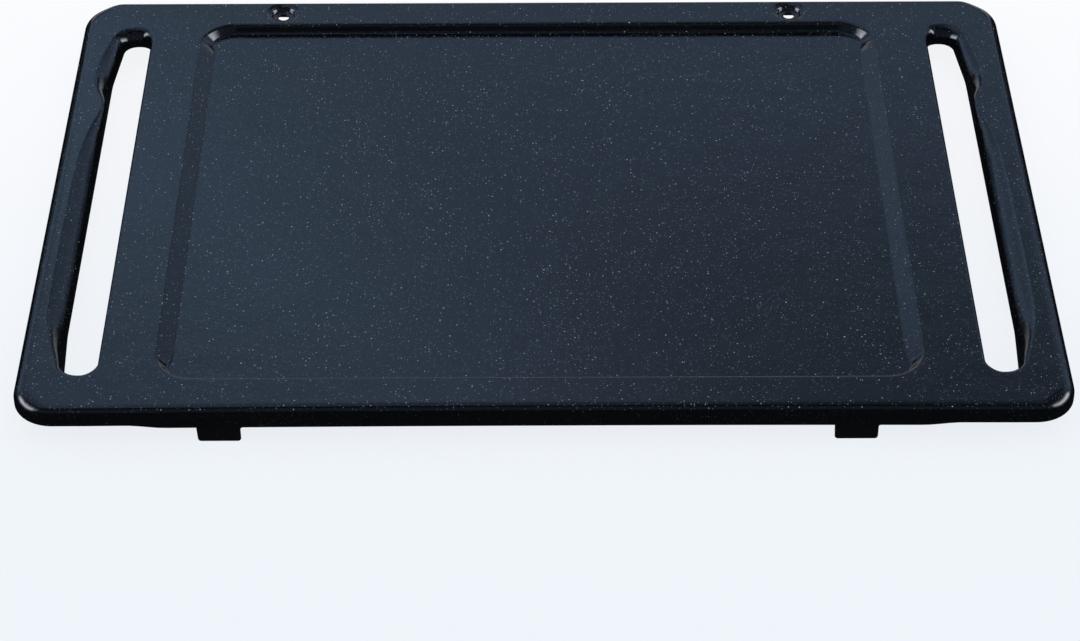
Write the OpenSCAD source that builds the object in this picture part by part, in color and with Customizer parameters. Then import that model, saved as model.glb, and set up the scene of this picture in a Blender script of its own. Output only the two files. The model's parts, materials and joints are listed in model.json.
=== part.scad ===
// Enamelled griddle plate: one pressed sheet with a turned-down edge, a shallow cooking
// tray, a hand slot at each end and two screw seats, plus two lugs welded behind the front edge.
// +X is to the right, +Y to the rear and +Z up. The origin is under the middle, level with the lug tips.

/* [Plate] */
// Width of the plate, left to right
plate_w = 440; // [360:1:560]
// Depth of the plate, front to rear
plate_d = 300; // [240:1:400]
// Thickness of the enamelled sheet
sheet = 1.0; // [0.8:0.1:1.4]
// Corner radius of the plate in plan
corner_r = 17.5; // [12:0.5:30]
// Height of the turned-down edge
edge_h = 9; // [6:0.2:14]
// Outside radius of the bend into the edge
edge_bend = 3.2; // [2:0.1:5]
// Extra depth of the middle stretch of the front edge
apron_drop = 1.4; // [0.4:0.1:3]
// Distance from each plate corner at which that stretch begins
apron_inset = 48; // [30:1:80]
// Run over which it gets deeper
apron_ramp = 14; // [6:1:24]

/* [Cooking tray] */
// Rim left flat between the hand slots and the tray, on each side
tray_side_rim = 22.7; // [12:0.1:40]
// Rim between the front or rear edge and the tray
tray_end_rim = 19; // [14:0.5:50]
// Shift of the tray to the right, negative to the left
tray_shift = -1.8; // [-3:0.1:3]
// Depth of the tray
tray_depth = 4.2; // [3.4:0.1:6]
// Corner radius of the tray in plan
tray_r = 17; // [10:0.5:30]
// Slope of the tray wall from the horizontal
tray_slope = 72; // [50:1:80]
// Radius over the top of the tray wall
tray_lip = 1.8; // [1.4:0.1:2.4]
// Radius at the foot of the tray wall
tray_foot = 1.2; // [0.6:0.1:2]

/* [Hand slots] */
// Clear width of a slot
slot_w = 16; // [14:0.2:24]
// Clear length of a slot
slot_l = 248.9; // [120:0.1:260]
// Distance from the slot's outer wall to the plate's end
slot_rail = 18.7; // [14:0.1:30]
// Shift of the slots towards the front
slot_shift = 1.6; // [0:0.1:6]
// Shift of the slots to the right, negative to the left
slot_side_shift = -1; // [-3:0.1:3]
// Height of the collar drawn down around a slot
collar_h = 8.4; // [6:0.2:12]
// Roll radius on the grip side and the ends
grip_roll = 5.2; // [3:0.1:6]
// Roll radius on the tray side
inner_roll = 1.5; // [1.2:0.1:2.5]

/* [Screw seats] */
// Distance between the two screw holes
hole_gap = 244.4; // [120:0.2:300]
// Shift of the pair of holes to the right, negative to the left
hole_shift = -2.3; // [-4:0.1:4]
// Distance from the hole centre to the rear end of the plate
hole_inset = 9.9; // [9:0.1:14]
// Diameter of a screw hole
hole_d = 5.3; // [3.2:0.1:6]
// Outer diameter of the dished seat
seat_d = 16.4; // [12:0.2:18]
// Depth of the dished seat
seat_depth = 2.8; // [1.5:0.1:3.5]
// Width of the flat floor round the hole
seat_land = 2.1; // [1:0.1:3]

/* [Front lugs] */
// Distance between the centres of the two lugs
lug_gap = 263; // [160:0.5:300]
// Shift of the lug pair to the right, negative to the left
lug_shift = -2.8; // [-6:0.1:6]
// Width of a lug
lug_w = 18.2; // [12:0.2:26]
// How far a lug stands below the front edge
lug_drop = 7.6; // [4:0.2:12]
// Height of the lug that is welded against the edge
lug_lap = 4.6; // [3:0.2:4.8]
// Radius of the lug's corners
lug_corner = 1.4; // [0.6:0.1:2]

/* [Hidden] */
enamel = [0.11, 0.13, 0.17];
lug_enamel = [0.06, 0.06, 0.08];
eps = 0.01;
clear = 1;                       // how far a cutter runs past a face
arc_steps = 6;
top = lug_drop + apron_drop + edge_h;
edge_z = top - edge_h;           // lower end of the turned-down edge
apron_z = edge_z - apron_drop;   // lower end of its middle stretch
slot_out = plate_w / 2 - slot_rail;
slot_in = slot_out - slot_w;
slot_x = (slot_in + slot_out) / 2;
tray_w = 2 * (slot_in - tray_side_rim - inner_roll);
tray_d = plate_d - 2 * tray_end_rim;
hole_y = plate_d / 2 - hole_inset;
seat_r = seat_d / 2;
lug_y = -plate_d / 2 + sheet;    // inner face of the front edge

// Arc about [cx, cz], from angle a to angle b, measured from straight up towards +x.
function bow(cx, cz, r, a, b) =
    [for (i = [0:arc_steps]) let (t = a + (b - a) * i / arc_steps) [cx + r * sin(t), cz + r * cos(t)]];

// A block with rounded plan corners. side lists [inset, height] points up its side wall.
module moulded(w, d, r, side) {
    low = side[0][1];
    high = side[len(side) - 1][1];
    for (sx = [-1, 1], sy = [-1, 1])
        translate([sx * (w / 2 - r), sy * (d / 2 - r), 0])
            rotate_extrude($fn = 96)
                polygon(concat([[0, low]], [for (p = side) [r - p[0], p[1]]], [[0, high]]));
    if (w > 2 * r + eps) rotate([90, 0, 90]) ridge(w - 2 * r, d, side);
    if (d > 2 * r + eps) rotate([90, 0, 0]) ridge(d - 2 * r, w, side);
}

// A straight bar of that side wall, of the given length and full width.
module ridge(length, width, side) {
    n = len(side);
    linear_extrude(length, center = true)
        polygon(concat([for (p = side) [width / 2 - p[0], p[1]]],
                       [for (i = [n - 1:-1:0]) [p_left(width, side[i]), side[i][1]]]));
}
function p_left(width, p) = p[0] - width / 2;

// The sheet's faces are worked out at depth g below the top face: 0 is the top, sheet the underside.
function edge_side(g, low) = concat([[0, low]], bow(edge_bend - g, top - edge_bend, edge_bend - g, -90, 0));
function tray_run() = (tray_lip + tray_foot) * sin(tray_slope)
    + (tray_depth - (tray_lip + tray_foot) * (1 - cos(tray_slope))) / tan(tray_slope);
function tray_side(g) = concat(
    bow(tray_run(), top - tray_depth + tray_foot, tray_foot + g, 180, 180 + tray_slope),
    bow(0, top - tray_lip, tray_lip - g, tray_slope, 0));
function roll_side(g, roll, low) = concat([[roll - g, low]], bow(0, top - roll, roll - g, 90, 0));

module edge_block(g, low) {
    moulded(plate_w - 2 * g, plate_d - 2 * g, corner_r - g, edge_side(g, low));
}

module tray_block(g) {
    translate([tray_shift, 0, 0]) moulded(tray_w, tray_d, tray_r, concat(tray_side(g), g == 0 ? [[0, top + clear]] : []));
}

// One slot: a wide roll on the grip side and round the ends, a tight one on the tray side.
module slot_block(g) {
    low = top - collar_h - (g == 0 ? clear : 0);
    flare_w = slot_w - grip_roll + inner_roll;
    translate([slot_x, -slot_shift, 0]) {
        roll_block(slot_w, inner_roll, g, low, slot_l);
        translate([(slot_w - flare_w) / 2, 0, 0]) roll_block(flare_w, grip_roll, g, low, slot_l);
    }
}
module roll_block(w, roll, g, low, l) {
    moulded(w + 2 * roll, l + 2 * roll, w / 2 + roll,
            concat(roll_side(g, roll, low), g == 0 ? [[0, top + clear]] : []));
}

// Dished screw seat: a shallow step, then a cone down to a flat floor. The underside runs wider.
function seat_side(g) =
    let (floor_r = hole_d / 2 + seat_land, span = seat_r - floor_r, wide = 0.35 * g, z = top - g)
    [[seat_r, z], [floor_r + 0.71 * span + wide, z - 0.11 * seat_depth],
     [floor_r + 0.45 * span + wide, z - 0.32 * seat_depth],
     [floor_r + 0.14 * span + wide, z - 0.89 * seat_depth], [floor_r + wide, z - seat_depth]];
module seat_block(g) {
    rotate_extrude($fn = 72)
        polygon(concat([[0, top + clear], [seat_r, top + clear]], seat_side(g), [[0, top - g - seat_depth]]));
}
module screw_seats(g) {
    for (s = [-1, 1]) translate([hole_shift + s * hole_gap / 2, hole_y, 0]) seat_block(g);
}

module griddle_plate() {
    color(enamel)
    difference() {
        union() {
            difference() {
                edge_block(0, edge_z);
                edge_block(sheet, edge_z - clear);
            }
            apron();
            tray_block(sheet);
            hand_slots(sheet);
            intersection() {
                edge_block(0, edge_z);
                screw_seats(sheet);
            }
        }
        tray_block(0);
        hand_slots(0);
        screw_seats(0);
        screw_holes();
    }
}

module hand_slots(g) {
    translate([slot_side_shift, 0, 0]) for (s = [0, 1]) mirror([s, 0, 0]) slot_block(g);
}

module screw_holes() {
    for (s = [-1, 1]) translate([hole_shift + s * hole_gap / 2, hole_y, top - seat_depth - 2 * sheet])
        cylinder(h = seat_depth, d = hole_d, $fn = 48);
}

// The deeper middle stretch of the front edge.
module apron() {
    far = plate_w / 2 - apron_inset;
    translate([0, -plate_d / 2 + sheet, 0]) rotate([90, 0, 0]) linear_extrude(sheet)
        polygon([[-far, edge_z], [-far + apron_ramp, apron_z], [far - apron_ramp, apron_z], [far, edge_z],
                 [far, edge_z + 1], [-far, edge_z + 1]]);
}

// One lug: square on its left side, which leans in a little, and filleted into its right shoulder.
module lug() {
    half = lug_w / 2;
    lean = 0.3;
    shoulder = apron_z;
    translate([0, lug_y + sheet, 0]) rotate([90, 0, 0]) linear_extrude(sheet)
        polygon(concat(
            [[-half, shoulder + lug_lap], [-half, shoulder]],
            bow(-half + lean + lug_corner, lug_corner, lug_corner, 270, 180),
            bow(half - lug_corner, lug_corner, lug_corner, 180, 90),
            bow(half + lug_corner, shoulder - lug_corner, lug_corner, 270, 360),
            [[half + lug_corner, shoulder + lug_lap]]));
}

module front_lug(side) {
    color(lug_enamel) translate([lug_shift + side * lug_gap / 2, 0, 0]) lug();
}
module front_lug_left() front_lug(-1);
module front_lug_right() front_lug(1);

griddle_plate();
front_lug_left();
front_lug_right();
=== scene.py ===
import bpy
import json
import math
import numpy as np
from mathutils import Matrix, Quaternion, Vector
from mathutils.geometry import delaunay_2d_cdt


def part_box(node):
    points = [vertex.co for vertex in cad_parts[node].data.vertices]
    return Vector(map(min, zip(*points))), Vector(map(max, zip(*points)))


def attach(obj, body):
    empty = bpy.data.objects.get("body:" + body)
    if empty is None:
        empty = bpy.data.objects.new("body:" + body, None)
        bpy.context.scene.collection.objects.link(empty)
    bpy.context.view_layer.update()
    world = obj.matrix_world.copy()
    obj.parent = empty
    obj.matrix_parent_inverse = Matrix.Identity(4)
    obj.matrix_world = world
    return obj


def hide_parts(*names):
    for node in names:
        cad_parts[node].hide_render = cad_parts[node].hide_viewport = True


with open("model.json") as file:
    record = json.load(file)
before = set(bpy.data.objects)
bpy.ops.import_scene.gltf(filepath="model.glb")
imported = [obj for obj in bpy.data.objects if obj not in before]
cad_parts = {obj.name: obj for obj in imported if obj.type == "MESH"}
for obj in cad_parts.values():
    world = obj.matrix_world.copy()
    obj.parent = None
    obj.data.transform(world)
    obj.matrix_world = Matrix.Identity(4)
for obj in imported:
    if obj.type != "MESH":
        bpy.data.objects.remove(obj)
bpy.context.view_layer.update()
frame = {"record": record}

mm = 0.001  # shapes are worked out in millimetres and stored in metres
hem = 0.8  # flat strip that each bent band keeps beside its bend
scene = bpy.context.scene
scene.view_settings.view_transform = "Standard"

plateLow, plateHigh = [np.array(corner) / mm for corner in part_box("griddle_plate")]
mounts = {mount["name"]: mount for mount in frame["record"]["mounts"]}
screws = mounts["rear_screws"]

# Camera: where it looks on the plate's top face, and from how far
view = {
    "target": (-1.57, -93.66, plateHigh[2]),
    "distance": 1272.7,
    "elevation": 39.72,
    "yaw": 0.22,
    "roll": -0.09,
    "lens": 100.14,
}

plate = {
    "halfW": plateHigh[0],
    "halfD": plateHigh[1],
    "top": plateHigh[2],
    "sheet": 1.0,
    "cornerR": 17.5,
    "bend": 3.2,
    "sideBend": 6.0,  # the sides and corners turn down more gently than the front and rear
    "apronDrop": 1.4,  # how far the apron hangs below the rest of the edge
    "apronFrom": 172.0,
    "apronTo": 156.0,
    "pull": 0.8,  # how far the press has drawn in the middle of the front edge
    "pullHalfW": 190.0,
    "pullFrom": 134.0,
    "pullRun": 12.0,
}

tray = {
    "halfW": 161.1,
    "halfD": 131.0,
    "shift": -1.8,
    "cornerR": 17.0,
    "depth": 4.2,
    "slope": 72.0,
    "cornerSlope": 57.0,
    "sideSlope": 33.0,
    "lip": 1.8,
    "foot": 1.2,
    "crown": 0.18,
}

# One hand slot, on the right; the left one is its mirror
slot = {
    "shift": -1.0,
    "corners": [(185.3, -126.05), (199.5, -126.05), (201.3, -94.0),
                (201.3, 90.0), (198.1, 122.85), (185.3, 122.85)],
    "radii": [7.0, 7.0, 70.0, 70.0, 6.3, 6.0],
    "collar": 8.4,
    "innerRoll": 1.5,
    "frontRoll": 2.8,
    "rearRoll": 5.2,
    # how far the grip rolls over, from the front of the slot to the rear
    "gripAt": [-124.0, -116.0, -108.0, -98.0, -86.0, -60.0, 0.0, 28.0,
               46.0, 57.0, 63.0, 68.0, 76.0, 86.0, 102.0, 118.0],
    "gripRoll": [2.8, 4.2, 6.0, 7.8, 9.2, 9.6, 9.2, 8.2, 5.8, 3.2, 1.5, 1.6, 5.6, 7.6, 7.2, 5.6],
    "gripBlend": 4.0,  # stretch over which the roll's changes are evened out
}

seat = {
    "shift": screws["pos_m"][0] / mm,
    "centreX": screws["dims"]["spacing_x_mm"] / 2,
    "centreY": screws["pos_m"][1] / mm,
    "holeR": screws["dims"]["hole_r_mm"],
    "depth": 2.8,
    "stepDepth": 0.75,
    "outerR": 8.2,
    "stepR": 6.9,
    "coneR": 6.35,
    "floorR": 4.75,
}

lug = {
    "sheet": 1.0,
    "corner": 1.4,
    "lean": 0.3,
    "stepOut": 0.35,
    "shoulder": plateLow[2],
    "weldAt": (5.2, 12.6),  # two weld dimples on the rear face
    "weldDown": 2.3,
    "weldR": 1.3,
    "weldDepth": 0.3,
}


# ---------- shapes as whole arrays ----------

def ease(t):
    t = np.clip(t, 0.0, 1.0)
    return t * t * (3.0 - 2.0 * t)


# Straight runs between the corners with an arc at each one, counter-clockwise.
# An arc's points are centre + radius * (cos a, sin a), a running through the turn.
def roundedLoop(corners, radii, steps, arcStep):
    corners = np.array(corners, float)
    radii = np.broadcast_to(radii, len(corners))
    steps = np.broadcast_to(steps, len(corners))
    ahead = np.roll(corners, -1, 0) - corners
    length = np.linalg.norm(ahead, axis=1)
    ahead /= length[:, None]
    behind = np.roll(ahead, 1, 0)
    crossing = behind[:, 0] * ahead[:, 1] - behind[:, 1] * ahead[:, 0]
    turn = np.arctan2(crossing, (behind * ahead).sum(1))
    cut = radii * np.tan(turn / 2)
    points, normals = [], []
    for i in range(len(corners)):
        first = math.atan2(behind[i, 1], behind[i, 0]) - math.pi / 2
        count = max(2, math.ceil(radii[i] * turn[i] / arcStep))
        angle = first + turn[i] * np.linspace(0, 1, count + 1)
        ray = np.stack([np.cos(angle), np.sin(angle)], 1)
        centre = corners[i] - cut[i] * behind[i] - radii[i] * ray[0]
        points.append(centre + radii[i] * ray)
        normals.append(ray)
        after = (i + 1) % len(corners)
        straight = length[i] - cut[i] - cut[after]
        count = max(1, math.ceil(straight / steps[i]))
        along = np.linspace(0, straight, count + 1)[1:-1, None]
        points.append(points[-1][-1] + along * ahead[i])
        normals.append(np.repeat(ray[-1:], len(along), 0))
    return np.concatenate(points), np.concatenate(normals)


def rectangleLoop(halfW, halfD, radius, steps, arcStep):
    corners = [(-halfW, -halfD), (halfW, -halfD), (halfW, halfD), (-halfW, halfD)]
    return roundedLoop(corners, radius, steps, arcStep)


# A profile carried round a loop: each row is the loop pushed out along its normals, at a height.
def carry(loop, normals, out, height):
    out = np.asarray(out, float)
    height = np.asarray(height, float)
    out = np.broadcast_to(out.reshape(len(out), -1), (len(out), len(loop)))
    height = np.broadcast_to(height.reshape(len(height), -1), (len(height), len(loop)))
    flat = loop[None] + out[:, :, None] * normals[None]
    return np.concatenate([flat, height[:, :, None]], 2)


# Quads between the rows of a grid whose columns close into a ring.
def ringFaces(rows, columns):
    row, column = np.meshgrid(np.arange(rows - 1), np.arange(columns), indexing="ij")
    after = (column + 1) % columns
    here, below = row * columns, (row + 1) * columns
    quads = [here + column, here + after, below + after, below + column]
    return np.stack(quads, 2).reshape(-1, 4)


# Half-round edge between the two faces of the sheet: the middle of each pair of points
# plus cos of their half difference plus sin of the same radius along the way out.
def rimGrid(first, second, outward, rows=5):
    turn = np.linspace(0, math.pi, rows)[:, None, None]
    middle = (first + second) / 2
    half = (first - second) / 2
    radius = np.linalg.norm(half, axis=1, keepdims=True)
    return middle[None] + np.cos(turn) * half[None] + np.sin(turn) * (radius * outward)[None]


def insideLoop(points, loop):
    x, y = points[:, 0, None], points[:, 1, None]
    ax, ay = loop[None, :, 0], loop[None, :, 1]
    bx, by = np.roll(ax, -1, 1), np.roll(ay, -1, 1)
    crosses = (ay > y) != (by > y)
    reach = np.where(crosses, ax + (y - ay) * (bx - ax) / np.where(by == ay, 1.0, by - ay), -1e9)
    return (crosses & (x < reach)).sum(1) % 2 == 1


def distanceToLoop(points, loop):
    a, b = loop[None], np.roll(loop, -1, 0)[None]
    p = points[:, None]
    t = np.clip(((p - a) * (b - a)).sum(2) / ((b - a) ** 2).sum(2), 0, 1)
    return np.linalg.norm(p - a - t[..., None] * (b - a), axis=2).min(1)


# Triangles over a flat zone with holes, with loose points inside it so that it can bend.
def flatZone(outer, holes, loose):
    loops = [outer] + holes
    keep = insideLoop(loose, outer)
    for hole in holes:
        keep &= ~insideLoop(loose, hole)
    for loop in loops:
        keep[keep] &= distanceToLoop(loose[keep, :2], loop) > 0.45 * loose[keep, 2]
    points = np.concatenate(loops + [loose[keep][:, :2]])
    edges, start = [], 0
    for loop in loops:
        index = np.arange(len(loop))
        edges += np.stack([start + index, start + (index + 1) % len(loop)], 1).tolist()
        start += len(loop)
    made = delaunay_2d_cdt([Vector(p) for p in points], edges, [], 1, 1e-5, True)
    origin = np.array([ids[0] for ids in made[3]])
    triangles = origin[np.array(made[2])]
    middle = points[triangles].mean(1)
    good = insideLoop(middle, outer)
    for hole in holes:
        good &= ~insideLoop(middle, hole)
    triangles = triangles[good]
    a, b, c = [points[triangles[:, i]] for i in range(3)]
    area = (b[:, 0] - a[:, 0]) * (c[:, 1] - a[:, 1]) - (b[:, 1] - a[:, 1]) * (c[:, 0] - a[:, 0])
    triangles[area < 0] = triangles[area < 0][:, ::-1]
    return points, triangles


def gridPoints(halfW, halfD, step):
    x, y = np.meshgrid(np.arange(-halfW, halfW, step), np.arange(-halfD, halfD, step * 0.866))
    x = x + np.where(np.arange(len(x)) % 2, step / 2, 0)[:, None]
    return np.stack([x.ravel(), y.ravel(), np.full(x.size, step)], 1)


def ringPoints(centre, radii, count, step=0.9):
    angle = np.arange(count) * 2 * math.pi / count
    ring = np.stack([np.cos(angle), np.sin(angle)], 1)
    points = (np.array(radii)[:, None, None] * ring[None]).reshape(-1, 2) + centre
    return np.concatenate([points, np.full((len(points), 1), step)], 1)


# Welds the surfaces of one piece into one mesh: points closer than a tenth of a micron are one.
def buildPiece(name, surfaces, material):
    points, faces, start = [], [], 0
    for grid, cells in surfaces:
        grid = grid.reshape(-1, 3)
        points.append(grid)
        faces.append(cells + start)
        start += len(grid)
    points = np.concatenate(points)
    rounded = np.round(points * 1e4).astype(np.int64)
    first, place = np.unique(rounded, axis=0, return_index=True, return_inverse=True)[1:]
    place = place.ravel()
    cells = [cell for group in faces for cell in tidyCells(place[group])]
    mesh = bpy.data.meshes.new(name)
    mesh.from_pydata((points[first] * mm).tolist(), [], cells)
    mesh.polygons.foreach_set("use_smooth", np.ones(len(mesh.polygons), bool))
    mesh.update()
    mesh.materials.append(material)
    piece = bpy.data.objects.new(name, mesh)
    scene.collection.objects.link(piece)
    print(name, len(mesh.vertices), "points", len(mesh.polygons), "faces")
    return piece


# A cell that closes on itself at a weld becomes a triangle, or goes.
def tidyCells(cells):
    same = cells == np.roll(cells, -1, 1)
    whole = cells[~same.any(1)].tolist()
    folded = cells[same.any(1)].tolist()
    folded = [[c for i, c in enumerate(row) if c != row[(i + 1) % len(row)]] for row in folded]
    return whole + [row for row in folded if len(row) > 2]


# ---------- the pressed plate ----------

# How far the dished seats press the sheet down: a shallow step, then a cone, each an ease curve.
def seatDrop(x, y, depth):
    r = np.hypot(np.abs(x - seat["shift"]) - seat["centreX"], y - seat["centreY"])
    step = ease((seat["outerR"] + 0.10 * depth - r) / (seat["outerR"] - seat["stepR"]))
    cone = ease((seat["coneR"] + 0.45 * depth - r) / (seat["coneR"] - seat["floorR"]))
    return seat["stepDepth"] * step + (seat["depth"] - seat["stepDepth"]) * cone


# Seats pressed down, and the front edge drawn in: a parabola along the front times an ease across it.
def settle(grid, depth):
    grid = grid.copy()
    x, y = grid[..., 0], grid[..., 1]
    grid[..., 2] -= seatDrop(x, y, depth)
    along = np.clip(1 - (x / plate["pullHalfW"]) ** 2, 0, 1)
    grid[..., 1] += plate["pull"] * along * ease((-y - plate["pullFrom"]) / plate["pullRun"])
    return grid


def bendRows(start, end, count):
    return np.radians(np.linspace(start, end, count + 1))


# Turned-down edge: flat, a quarter-round bend, then straight down to a half-round end.
def edgeBand(depth):
    steps = [4.0, 6.0, 1.1, 6.0]
    loop, normals = rectangleLoop(plate["halfW"], plate["halfD"], plate["cornerR"], steps, 1.6)
    bend = (plate["bend"] + (plate["sideBend"] - plate["bend"]) * ease(1.5 * np.abs(normals[:, 0])))[None]
    angle = bendRows(0, 90, 10)[:, None]
    front = ease((-loop[:, 1] - plate["halfD"] + 4) / 4)
    low = plateLow[2] + plate["apronDrop"] + plate["sheet"] / 2
    low = low - front * plate["apronDrop"] * ease((plate["apronFrom"] - np.abs(loop[:, 0]))
                                                  / (plate["apronFrom"] - plate["apronTo"]))
    foot = plate["top"] - bend
    wall = foot + (low - foot) * np.array([0.35, 0.7, 1.0])[:, None]
    out = np.concatenate([-bend - hem, (bend - depth) * np.sin(angle) - bend,
                          np.full((3, len(loop)), -depth)])
    height = np.concatenate([0 * bend + plate["top"] - depth, foot + (bend - depth) * np.cos(angle), wall])
    return carry(loop, normals, out, height)


# Tray wall: an arc over the lip, a straight slope and an arc at the foot. The slope lies further
# back in the corners, and furthest on the two sides.
def trayBand(depth):
    loop, normals = rectangleLoop(tray["halfW"], tray["halfD"], tray["cornerR"], 6.0, 1.5)
    loop = loop + [tray["shift"], 0]
    turned = np.degrees(np.arctan2(np.abs(normals[:, 0]), np.abs(normals[:, 1])))
    slopes = [tray["slope"], tray["cornerSlope"], tray["cornerSlope"], tray["sideSlope"]]
    slope = np.radians(np.interp(turned, [0, 25, 50, 90], slopes))[None]
    bends = tray["lip"] + tray["foot"]
    run = bends * np.sin(slope) + (tray["depth"] - bends * (1 - np.cos(slope))) / np.tan(slope)
    lipArc = np.linspace(0, 1, 8)[:, None] * slope
    footArc = np.linspace(1, 0, 7)[:, None] * slope
    lip, foot = tray["lip"] - depth, tray["foot"] + depth
    flat = np.ones_like(slope)
    inward = np.concatenate([-hem * flat, lip * np.sin(lipArc), run - foot * np.sin(footArc), run + hem])
    below = np.concatenate([-depth * flat, -tray["lip"] + lip * np.cos(lipArc),
                            -tray["depth"] + tray["foot"] - foot * np.cos(footArc),
                            (-tray["depth"] - depth) * flat])
    return carry(loop, normals, -inward, plate["top"] + below)


# Roll of a hand slot at each point of its outline: wide on the grip side, tight on the tray side.
def slotRolls(loop, normals):
    along = loop[:, 1] + slot["gripBlend"] * np.array([-1.0, -0.5, 0.0, 0.5, 1.0])[:, None]
    grip = np.interp(along, slot["gripAt"], slot["gripRoll"]).mean(0)
    ends = np.where(loop[:, 1] > 0, slot["rearRoll"], slot["frontRoll"])
    towardsGrip = ease((normals[:, 0] + 0.15) / 0.85)
    towardsTray = ease((-normals[:, 0] - 0.1) / 0.85)
    roll = ends + (grip - ends) * towardsGrip
    return roll + (slot["innerRoll"] - roll) * towardsTray


# Slot collar: a quarter superellipse, of power 2 where the roll is tight and 1.5 where it is wide,
# then straight down.
def slotBand(depth):
    loop, normals = roundedLoop(slot["corners"], slot["radii"], [2.0, 2.0, 3.0, 2.0, 2.0, 4.0], 0.9)
    roll = slotRolls(loop, normals)
    rise = np.minimum(1.25 * roll + 0.6, slot["collar"] - 0.7)
    angle = np.linspace(0, math.pi / 2, 15)[:, None]
    power = 2 / (2 - 0.5 * ease((roll - 3) / 5))[None]
    across = (roll - depth)[None] * (1 - np.sin(angle) ** power) + depth
    down = -rise[None] + (rise - depth)[None] * np.maximum(np.cos(angle), 0) ** power
    low = -slot["collar"] + plate["sheet"] / 2
    wall = (-rise)[None] + (low + rise)[None] * np.array([0.5, 1.0])[:, None]
    out = np.concatenate([(roll + hem)[None], across, np.full((2, len(loop)), depth)])
    height = np.concatenate([np.full((1, len(loop)), -depth), down, wall])
    return carry(loop, normals, out, plate["top"] + height)


# The slot on one side, +1 for the right: the left one runs the other way round so that it stays
# counter-clockwise.
def slotAt(grid, side):
    placed = grid[:, ::side].copy()
    placed[..., 0] = side * placed[..., 0] + slot["shift"]
    return placed


# Tray floor: the crown times the square of a parabola across times one along.
def trayFloorHeight(x, y, depth):
    edge = (1 - ((x - tray["shift"]) / tray["halfW"]) ** 2) * (1 - (y / tray["halfD"]) ** 2)
    return plate["top"] - tray["depth"] - depth + tray["crown"] * np.clip(edge, 0, 1) ** 2


def plateFace(depth):
    edge, trayWall, oneSlot = edgeBand(depth), trayBand(depth), slotBand(depth)
    rightSlot, leftSlot = slotAt(oneSlot, 1), slotAt(oneSlot, -1)
    centres = [(seat["shift"] + side * seat["centreX"], seat["centreY"]) for side in (-1, 1)]
    holes = [ringPoints(centre, [seat["holeR"]], 40)[:, :2] for centre in centres]
    dense = np.concatenate([ringPoints(centre, np.arange(3.3, 9.6, 0.32), 56) for centre in centres])
    rimLoops = [trayWall[0, :, :2], rightSlot[0, :, :2], leftSlot[0, :, :2]] + holes
    loose = gridPoints(plate["halfW"], plate["halfD"], 5.0)
    near = np.minimum(*[np.hypot(loose[:, 0] - centre[0], loose[:, 1] - centre[1]) for centre in centres])
    rim, rimCells = flatZone(edge[0, :, :2], rimLoops, np.concatenate([loose[near > 10], dense]))
    rim = np.concatenate([rim, np.full((len(rim), 1), plate["top"] - depth)], 1)
    floorLoop = trayWall[-1, :, :2]
    floor, floorCells = flatZone(floorLoop, [], gridPoints(tray["halfW"] + 4, tray["halfD"], 8.0))
    floor = np.column_stack([floor, trayFloorHeight(floor[:, 0], floor[:, 1], depth)])
    floor[: len(floorLoop), 2] = plate["top"] - tray["depth"] - depth
    # rows run outwards in the first two bands and towards the hole in the others
    outward, inward = (-1, 1) if depth == 0 else (1, -1)
    grids = [(edge, outward), (trayWall[::-1], outward), (rightSlot, inward), (leftSlot, inward)]
    parts = [(grid, ringFaces(*grid.shape[:2])[:, ::turned]) for grid, turned in grids]
    parts += [(rim, rimCells[:, ::inward]), (floor, floorCells[:, ::inward])]
    return [(settle(grid, depth), cells) for grid, cells in parts], (edge, rightSlot, leftSlot, holes)


def plateSurfaces():
    topFace, (topEdge, topRight, topLeft, holes) = plateFace(0.0)
    lowFace, lowRims = plateFace(plate["sheet"])
    surfaces = topFace + lowFace
    down = np.array([0.0, 0.0, -1.0])
    for upper, under, turned in zip((topEdge, topRight, topLeft), lowRims, (-1, 1, 1)):
        rim = rimGrid(settle(upper[-1], 0), settle(under[-1], plate["sheet"]), down)
        surfaces.append((rim, ringFaces(*rim.shape[:2])[:, ::turned]))
    for ring in holes:
        levels = plate["top"] - seat["depth"] - np.array([0.0, 0.5, 1.0]) * plate["sheet"]
        wall = np.repeat(np.column_stack([ring, np.zeros(len(ring))])[None], 3, 0)
        wall[..., 2] = levels[:, None]
        surfaces.append((wall, ringFaces(3, len(ring))))
    return surfaces


# ---------- the lugs ----------

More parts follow.
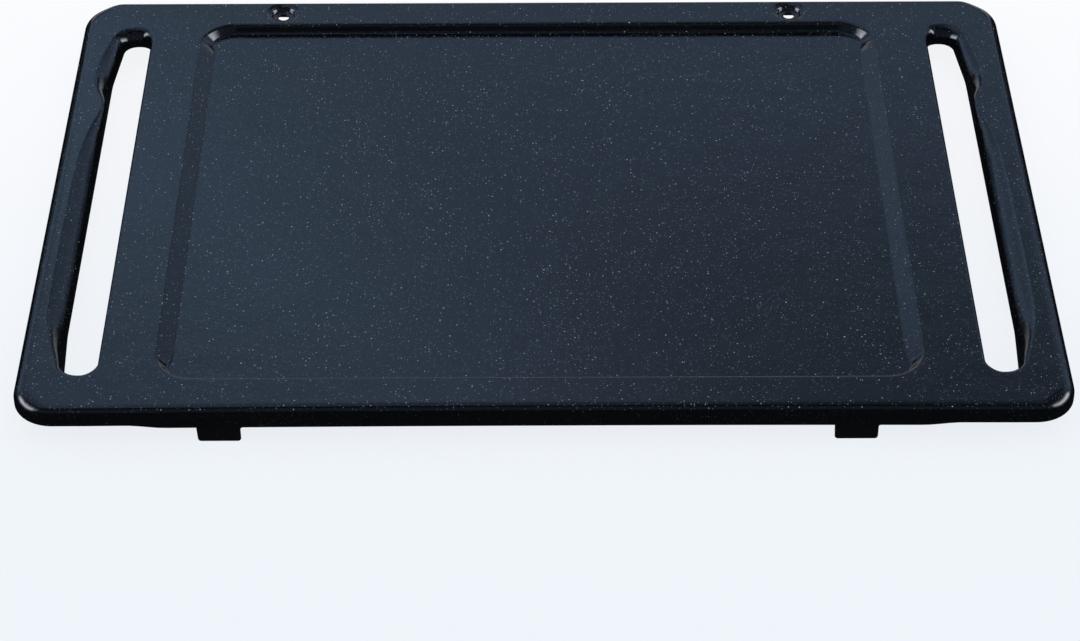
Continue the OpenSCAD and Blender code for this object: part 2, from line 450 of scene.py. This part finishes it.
# A lug's face is a grid: u runs across from its left side to its right one, v runs down.
# Its sides are the straight flanks less a quarter circle at each bottom corner, and a weld dimple
# is a bell, exp(-(distance / radius)^2), pressed into the rear face.
def lugSurfaces(name):
    low, high = [np.array(corner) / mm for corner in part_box(name)]
    half = inset = lug["sheet"] / 2
    corner, shoulder = lug["corner"], lug["shoulder"]
    left, right = low[0] + inset, high[0] - corner - inset
    turn = np.linspace(0, math.pi / 2, 7)[1:]
    height = np.concatenate([np.linspace(high[2] - inset, shoulder + corner, 12),
                             np.linspace(shoulder + corner, corner + low[2], 18)[1:],
                             low[2] + inset + (corner - inset) * (1 - np.sin(turn))])
    arc = np.sqrt(np.maximum((corner - inset) ** 2 - (corner - height) ** 2, 0))
    cornerIn = np.where(height < corner, corner - inset - arc, 0)
    lean = lug["lean"] * ease((shoulder - height) / shoulder)
    arc = np.sqrt(np.maximum(corner ** 2 - (height - shoulder + corner) ** 2, 0))
    fillet = np.where(height > shoulder - corner, corner - arc, 0)
    fillet = np.where(height > shoulder, corner, fillet)
    leftSide = left + lean + cornerIn
    rightSide = right + fillet - cornerIn
    u = np.linspace(0, 1, 37)[None]
    x = leftSide[:, None] + (rightSide - leftSide)[:, None] * u
    z = np.repeat(height[:, None], u.size, 1)
    middle = (low[1] + high[1]) / 2
    forward = lug["stepOut"] * ease((shoulder - 0.2 - height) / 1.0)
    y = np.repeat((middle - forward)[:, None], u.size, 1)
    weldR, rise = lug["weldR"], z - high[2] + lug["weldDown"]
    spots = sum(np.exp(-(((x - low[0] - at) / weldR) ** 2 + (rise / weldR) ** 2)) for at in lug["weldAt"])
    front = np.stack([x, y - half, z], 2)
    back = np.stack([x, y + half - lug["weldDepth"] * spots, z], 2)
    rows, columns = x.shape
    row, column = np.meshgrid(np.arange(rows - 1), np.arange(columns - 1), indexing="ij")
    cells = np.stack([row * columns + column, (row + 1) * columns + column,
                      (row + 1) * columns + column + 1, row * columns + column + 1], 2).reshape(-1, 4)
    border = np.concatenate([np.arange(columns), np.arange(1, rows) * columns + columns - 1,
                             (rows - 1) * columns + np.arange(columns - 2, -1, -1),
                             np.arange(rows - 2, 0, -1) * columns])
    ringFront, ringBack = front.reshape(-1, 3)[border], back.reshape(-1, 3)[border]
    along = np.roll(ringFront, -1, 0) - np.roll(ringFront, 1, 0)
    outward = np.stack([-along[:, 2], np.zeros(len(along)), along[:, 0]], 1)
    outward /= np.linalg.norm(outward, axis=1, keepdims=True)
    rim = rimGrid(ringFront, ringBack, outward)
    return [(front, cells), (back, cells[:, ::-1]), (rim, ringFaces(*rim.shape[:2]))]


# ---------- enamel ----------

def addNode(tree, kind, **values):
    node = tree.nodes.new(kind)
    for key, value in values.items():
        if key.startswith("in_"):
            node.inputs[key[3:].replace("_", " ")].default_value = value
        else:
            setattr(node, key, value)
    return node


def mathNode(tree, operation, first, second=None, third=None):
    node = tree.nodes.new("ShaderNodeMath")
    node.operation = operation
    for socket, value in zip(node.inputs, (first, second, third)):
        if value is None:
            continue
        if isinstance(value, (int, float)):
            socket.default_value = value
        else:
            tree.links.new(value, socket)
    return node.outputs[0]


# Speck layers: cells to the metre, share of the density, size and soft border in cells
frit = {
    "fine": (1500.0, 0.5, 0.40, 0.14),
    "medium": (700.0, 0.45, 0.26, 0.09),
    "large": (260.0, 0.16, 0.12, 0.05),
}


# A smooth step that rises from 0 at low to 1 at high, or falls where low is the larger.
def easeBetween(tree, value, low, high):
    node = addNode(tree, "ShaderNodeMapRange", interpolation_type="SMOOTHSTEP")
    node.inputs["From Min"].default_value = low
    node.inputs["From Max"].default_value = high
    tree.links.new(value, node.inputs["Value"])
    return node.outputs["Result"]


# A bell: exp of minus half the square of (value - middle) / width.
def bell(tree, value, middle, width):
    away = mathNode(tree, "DIVIDE", mathNode(tree, "SUBTRACT", value, middle), width)
    square = mathNode(tree, "MULTIPLY", away, away)
    return mathNode(tree, "EXPONENT", mathNode(tree, "MULTIPLY", square, -0.5))


# Specks of lighter frit: in each cell of a Voronoi pattern one speck of its own size,
# kept where the cell's random value is under the density.
def speckLayer(tree, place, scale, density, size, soft):
    cells = addNode(tree, "ShaderNodeTexVoronoi", in_Scale=scale)
    tree.links.new(place, cells.inputs["Vector"])
    colour = addNode(tree, "ShaderNodeSeparateColor")
    tree.links.new(cells.outputs["Color"], colour.inputs["Color"])
    reach = mathNode(tree, "MULTIPLY_ADD", colour.outputs["Green"], size * 0.7, size * 0.3)
    inside = mathNode(tree, "DIVIDE", mathNode(tree, "SUBTRACT", reach, cells.outputs["Distance"]), soft)
    inside = mathNode(tree, "MINIMUM", mathNode(tree, "MAXIMUM", inside, 0.0), 1.0)
    kept = mathNode(tree, "LESS_THAN", colour.outputs["Red"], density)
    bright = mathNode(tree, "MULTIPLY_ADD", colour.outputs["Blue"], 0.75, 0.25)
    return mathNode(tree, "MULTIPLY", mathNode(tree, "MULTIPLY", inside, kept), bright)


def makeSpeckGroup():
    group = bpy.data.node_groups.new("enamelSpecks", "ShaderNodeTree")
    for name, value in (("Density", 0.3), ("Strength", 1.0)):
        socket = group.interface.new_socket(name, in_out="INPUT", socket_type="NodeSocketFloat")
        socket.default_value = value
    group.interface.new_socket("Specks", in_out="OUTPUT", socket_type="NodeSocketFloat")
    group.interface.new_socket("Wave", in_out="OUTPUT", socket_type="NodeSocketFloat")
    entry, leave = addNode(group, "NodeGroupInput"), addNode(group, "NodeGroupOutput")
    place = addNode(group, "ShaderNodeTexCoord").outputs["Object"]
    drift = addNode(group, "ShaderNodeTexNoise", in_Scale=38.0, in_Detail=2.0)
    group.links.new(place, drift.inputs["Vector"])
    density = mathNode(group, "MULTIPLY", entry.outputs["Density"],
                       mathNode(group, "MULTIPLY_ADD", drift.outputs["Fac"], 1.6, 0.2))
    fine, medium, large = [
        speckLayer(group, place, scale, mathNode(group, "MULTIPLY", density, share), size, soft)
        for scale, share, size, soft in frit.values()]
    small = mathNode(group, "MULTIPLY", fine, 0.35)
    total = mathNode(group, "MAXIMUM", small, mathNode(group, "MULTIPLY", medium, 0.8))
    total = mathNode(group, "MAXIMUM", total, large)
    group.links.new(mathNode(group, "MULTIPLY", total, entry.outputs["Strength"]), leave.inputs["Specks"])
    # orange peel: fine waves on long ones
    peel = addNode(group, "ShaderNodeTexNoise", in_Scale=420.0, in_Detail=1.5)
    swell = addNode(group, "ShaderNodeTexNoise", in_Scale=55.0, in_Detail=1.0)
    group.links.new(place, peel.inputs["Vector"])
    group.links.new(place, swell.inputs["Vector"])
    wave = mathNode(group, "MULTIPLY_ADD", swell.outputs["Fac"], 4.0, peel.outputs["Fac"])
    group.links.new(wave, leave.inputs["Wave"])
    return group


enamel = {
    "plate": {"base": (0.0016, 0.0018, 0.0024), "speck": (0.46, 0.53, 0.60),
              "density": 0.60, "strength": 0.85, "rough": 0.15, "wave": 0.10},
    "lug": {"base": (0.0018, 0.0018, 0.0020), "speck": (0.20, 0.24, 0.28),
            "density": 0.25, "strength": 0.5, "rough": 0.22, "wave": 0.16},
}


def makeEnamel(name, look, specks):
    material = bpy.data.materials.new(name)
    material.use_nodes = True
    tree = material.node_tree
    shader = tree.nodes["Principled BSDF"]
    shader.inputs["IOR"].default_value = 1.5
    pattern = addNode(tree, "ShaderNodeGroup", node_tree=specks)
    pattern.inputs["Density"].default_value = look["density"]
    pattern.inputs["Strength"].default_value = look["strength"]
    mix = addNode(tree, "ShaderNodeMix", data_type="RGBA")
    mix.inputs["A"].default_value = (*look["base"], 1)
    mix.inputs["B"].default_value = (*look["speck"], 1)
    normalForShade = addNode(tree, "ShaderNodeSeparateXYZ")
    tree.links.new(addNode(tree, "ShaderNodeNewGeometry").outputs["Normal"], normalForShade.inputs[0])
    # painted shade: the specks fade to 0.15 of their strength on the steep parts, going by the height of
    # the surface normal
    level = mathNode(tree, "MULTIPLY_ADD", easeBetween(tree, normalForShade.outputs["Z"], 0.3, 0.9), 0.85, 0.15)
    specksWithPaintedShade = mathNode(tree, "MULTIPLY", pattern.outputs["Specks"], level)
    tree.links.new(specksWithPaintedShade, mix.inputs["Factor"])
    tree.links.new(mix.outputs["Result"], shader.inputs["Base Color"])
    place = addNode(tree, "ShaderNodeTexCoord").outputs["Object"]
    smear = addNode(tree, "ShaderNodeTexNoise", in_Scale=24.0, in_Detail=3.0)
    tree.links.new(place, smear.inputs["Vector"])
    rough = mathNode(tree, "MULTIPLY_ADD", smear.outputs["Fac"], 0.08, look["rough"] - 0.04)
    rough = mathNode(tree, "MULTIPLY_ADD", pattern.outputs["Specks"], 0.12, rough)
    tree.links.new(rough, shader.inputs["Roughness"])
    bump = addNode(tree, "ShaderNodeBump", in_Strength=look["wave"], in_Distance=0.0004)
    tree.links.new(pattern.outputs["Wave"], bump.inputs["Height"])
    tree.links.new(bump.outputs["Normal"], shader.inputs["Normal"])
    return material


# ---------- camera, floor and light ----------

def makeCamera():
    data = bpy.data.cameras.new("camera")
    data.lens = view["lens"]
    data.sensor_width = 36.0
    camera = bpy.data.objects.new("camera", data)
    scene.collection.objects.link(camera)
    elevation, yaw = math.radians(view["elevation"]), math.radians(view["yaw"])
    level = math.cos(elevation)
    ahead = Vector((math.sin(yaw) * level, math.cos(yaw) * level, -math.sin(elevation)))
    camera.location = (Vector(view["target"]) - ahead * view["distance"]) * mm
    camera.rotation_mode = "QUATERNION"
    roll = Quaternion((0, 0, 1), math.radians(view["roll"]))
    camera.rotation_quaternion = ahead.to_track_quat("-Z", "Y") @ roll
    data.clip_start, data.clip_end = 0.01, 50.0
    scene.camera = camera


# The floor looks pale to the camera and dark to the gloss, as a studio sweep under black flags does.
def makeFloor():
    mesh = bpy.data.meshes.new("floor")
    half = 9.0
    corners = [(-half, -half, 0), (half, -half, 0), (half, half, 0), (-half, half, 0)]
    mesh.from_pydata(corners, [], [(0, 1, 2, 3)])
    floor = bpy.data.objects.new("floor", mesh)
    scene.collection.objects.link(floor)
    material = bpy.data.materials.new("paleFloor")
    material.use_nodes = True
    tree = material.node_tree
    shader = tree.nodes["Principled BSDF"]
    shader.inputs["Base Color"].default_value = (0.80, 0.82, 0.84, 1)
    shader.inputs["Roughness"].default_value = 0.6
    path = addNode(tree, "ShaderNodeLightPath")
    spot = addNode(tree, "ShaderNodeSeparateXYZ")
    tree.links.new(addNode(tree, "ShaderNodeTexCoord").outputs["Object"], spot.inputs[0])
    tone = addNode(tree, "ShaderNodeMix", data_type="RGBA")
    tone.inputs["A"].default_value = (0.88, 0.925, 0.975, 1)
    tone.inputs["B"].default_value = (1.0, 1.0, 1.02, 1)
    tree.links.new(easeBetween(tree, spot.outputs["Y"], -0.30, 0.25), tone.inputs["Factor"])
    seen = addNode(tree, "ShaderNodeEmission", in_Strength=1.0)
    tree.links.new(tone.outputs["Result"], seen.inputs["Color"])
    dull = addNode(tree, "ShaderNodeEmission", in_Color=(0.5, 0.6, 0.8, 1), in_Strength=0.012)
    soft = addNode(tree, "ShaderNodeMixShader", in_Fac=0.88)
    tree.links.new(shader.outputs[0], soft.inputs[1])
    tree.links.new(seen.outputs[0], soft.inputs[2])
    swap = addNode(tree, "ShaderNodeMixShader")
    tree.links.new(path.outputs["Is Glossy Ray"], swap.inputs["Fac"])
    tree.links.new(soft.outputs[0], swap.inputs[1])
    tree.links.new(dull.outputs[0], swap.inputs[2])
    tree.links.new(swap.outputs[0], tree.nodes["Material Output"].inputs["Surface"])
    mesh.materials.append(material)


# Light that the enamel mirrors, each by its strength; colours are the light's own
studio = {
    "panel": 0.52,
    "glow": 0.34,
    "glowAt": -0.065,
    "glowWidth": 0.037,
    "dimming": -0.2,
    "strip": 9.0,
    "stripHeight": 0.30,
    "stripWidth": 0.11,
    "front": 0.15,
    "fill": 0.4,
    "skyline": 0.9,
    "darkest": 0.006,
    "cold": (0.655, 0.99, 1.51, 1),
    "white": (0.90, 0.98, 1.10, 1),
    "backdrop": (0.96, 0.98, 1.0, 1),
}


# Studio light as the sky sees it: a wide panel behind and overhead with a glow low on its left,
# a tall strip on each side, and little from the front.
def makeWorld():
    world = bpy.data.worlds.new("studio")
    world.use_nodes = True
    scene.world = world
    tree = world.node_tree
    tree.nodes.clear()
    place = addNode(tree, "ShaderNodeTexCoord").outputs["Generated"]
    axis = addNode(tree, "ShaderNodeSeparateXYZ")
    tree.links.new(place, axis.inputs[0])
    x, y, z = axis.outputs
    tilt = mathNode(tree, "ARCTAN2", z, y)  # 0 behind, a quarter turn overhead, a half turn in front
    across = mathNode(tree, "ABSOLUTE", x)
    lifted = mathNode(tree, "MULTIPLY_ADD", easeBetween(tree, across, 0.3, 0.5), 0.19, tilt)
    low = easeBetween(tree, lifted, math.radians(24), math.radians(30))
    far = easeBetween(tree, tilt, math.radians(104), math.radians(92))
    wide = easeBetween(tree, across, 0.85, 0.55)
    panel = mathNode(tree, "MULTIPLY", mathNode(tree, "MULTIPLY", low, far), wide)
    height = mathNode(tree, "MULTIPLY", mathNode(tree, "SUBTRACT", z, 0.563), 1 / 0.104)
    height = mathNode(tree, "MINIMUM", mathNode(tree, "MAXIMUM", height, 0.0), 1.2)
    side = mathNode(tree, "MINIMUM", mathNode(tree, "MAXIMUM", x, -0.16), 0.12)
    fall = mathNode(tree, "MULTIPLY_ADD", side, -1.3, -0.17)
    gain = mathNode(tree, "MULTIPLY_ADD", height, fall, studio["panel"])
    ridge = mathNode(tree, "MULTIPLY_ADD", mathNode(tree, "SUBTRACT", z, 0.639), -1.6, x)
    ridge = bell(tree, ridge, studio["glowAt"], studio["glowWidth"])
    gain = mathNode(tree, "MULTIPLY_ADD", ridge, studio["glow"], gain)
    dimmed = mathNode(tree, "MULTIPLY_ADD", easeBetween(tree, across, 0.2, 0.38), studio["dimming"], 1.0)
    panel = mathNode(tree, "MULTIPLY", panel, mathNode(tree, "MULTIPLY", gain, dimmed))
    strip = easeBetween(tree, across, 0.62, 0.92)
    strip = mathNode(tree, "MULTIPLY", strip, easeBetween(tree, y, -0.45, -0.2))
    strip = mathNode(tree, "MULTIPLY", strip, easeBetween(tree, y, 0.45, 0.25))
    strip = mathNode(tree, "MULTIPLY", strip, bell(tree, z, studio["stripHeight"], studio["stripWidth"]))
    front = mathNode(tree, "MULTIPLY", easeBetween(tree, tilt, math.radians(110), math.radians(135)),
                     easeBetween(tree, z, 0.08, 0.3))
    skyline = mathNode(tree, "MULTIPLY", easeBetween(tree, z, 0.34, 0.22), easeBetween(tree, y, 0.05, 0.35))
    skyline = mathNode(tree, "MULTIPLY", skyline, easeBetween(tree, across, 0.55, 0.38))
    cold = mathNode(tree, "MULTIPLY_ADD", front, studio["front"], panel)
    fill = easeBetween(tree, across, 0.55, 0.7)
    fill = mathNode(tree, "MULTIPLY", fill, easeBetween(tree, z, -0.15, 0.1))
    fill = mathNode(tree, "MULTIPLY", fill, easeBetween(tree, y, 0.3, 0.6))
    cold = mathNode(tree, "MULTIPLY_ADD", fill, studio["fill"], cold)
    white = mathNode(tree, "MULTIPLY_ADD", skyline, studio["skyline"], studio["darkest"])
    white = mathNode(tree, "MULTIPLY_ADD", strip, studio["strip"], white)
    coldPart = addNode(tree, "ShaderNodeBackground", in_Color=studio["cold"])
    whitePart = addNode(tree, "ShaderNodeBackground", in_Color=studio["white"])
    tree.links.new(cold, coldPart.inputs["Strength"])
    tree.links.new(white, whitePart.inputs["Strength"])
    gloss = addNode(tree, "ShaderNodeAddShader")
    tree.links.new(coldPart.outputs[0], gloss.inputs[0])
    tree.links.new(whitePart.outputs[0], gloss.inputs[1])
    backdrop = addNode(tree, "ShaderNodeBackground", in_Color=studio["backdrop"], in_Strength=1.0)
    path = addNode(tree, "ShaderNodeLightPath")
    swap = addNode(tree, "ShaderNodeMixShader")
    tree.links.new(path.outputs["Is Glossy Ray"], swap.inputs["Fac"])
    tree.links.new(backdrop.outputs[0], swap.inputs[1])
    tree.links.new(gloss.outputs[0], swap.inputs[2])
    leave = addNode(tree, "ShaderNodeOutputWorld")
    tree.links.new(swap.outputs[0], leave.inputs["Surface"])


makeCamera()
makeFloor()
makeWorld()
print("stage ready")

specks = makeSpeckGroup()
plateEnamel = makeEnamel("plateEnamel", enamel["plate"], specks)
lugEnamel = makeEnamel("lugEnamel", enamel["lug"], specks)
print("enamel ready")

pressing = buildPiece("pressed_plate", plateSurfaces(), plateEnamel)
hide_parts("griddle_plate")
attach(pressing, "root")

for name in ("front_lug_left", "front_lug_right"):
    tongue = buildPiece(name + "_stamping", lugSurfaces(name), lugEnamel)
    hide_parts(name)
    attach(tongue, "root")
print("pieces ready")

bpy.context.view_layer.update()
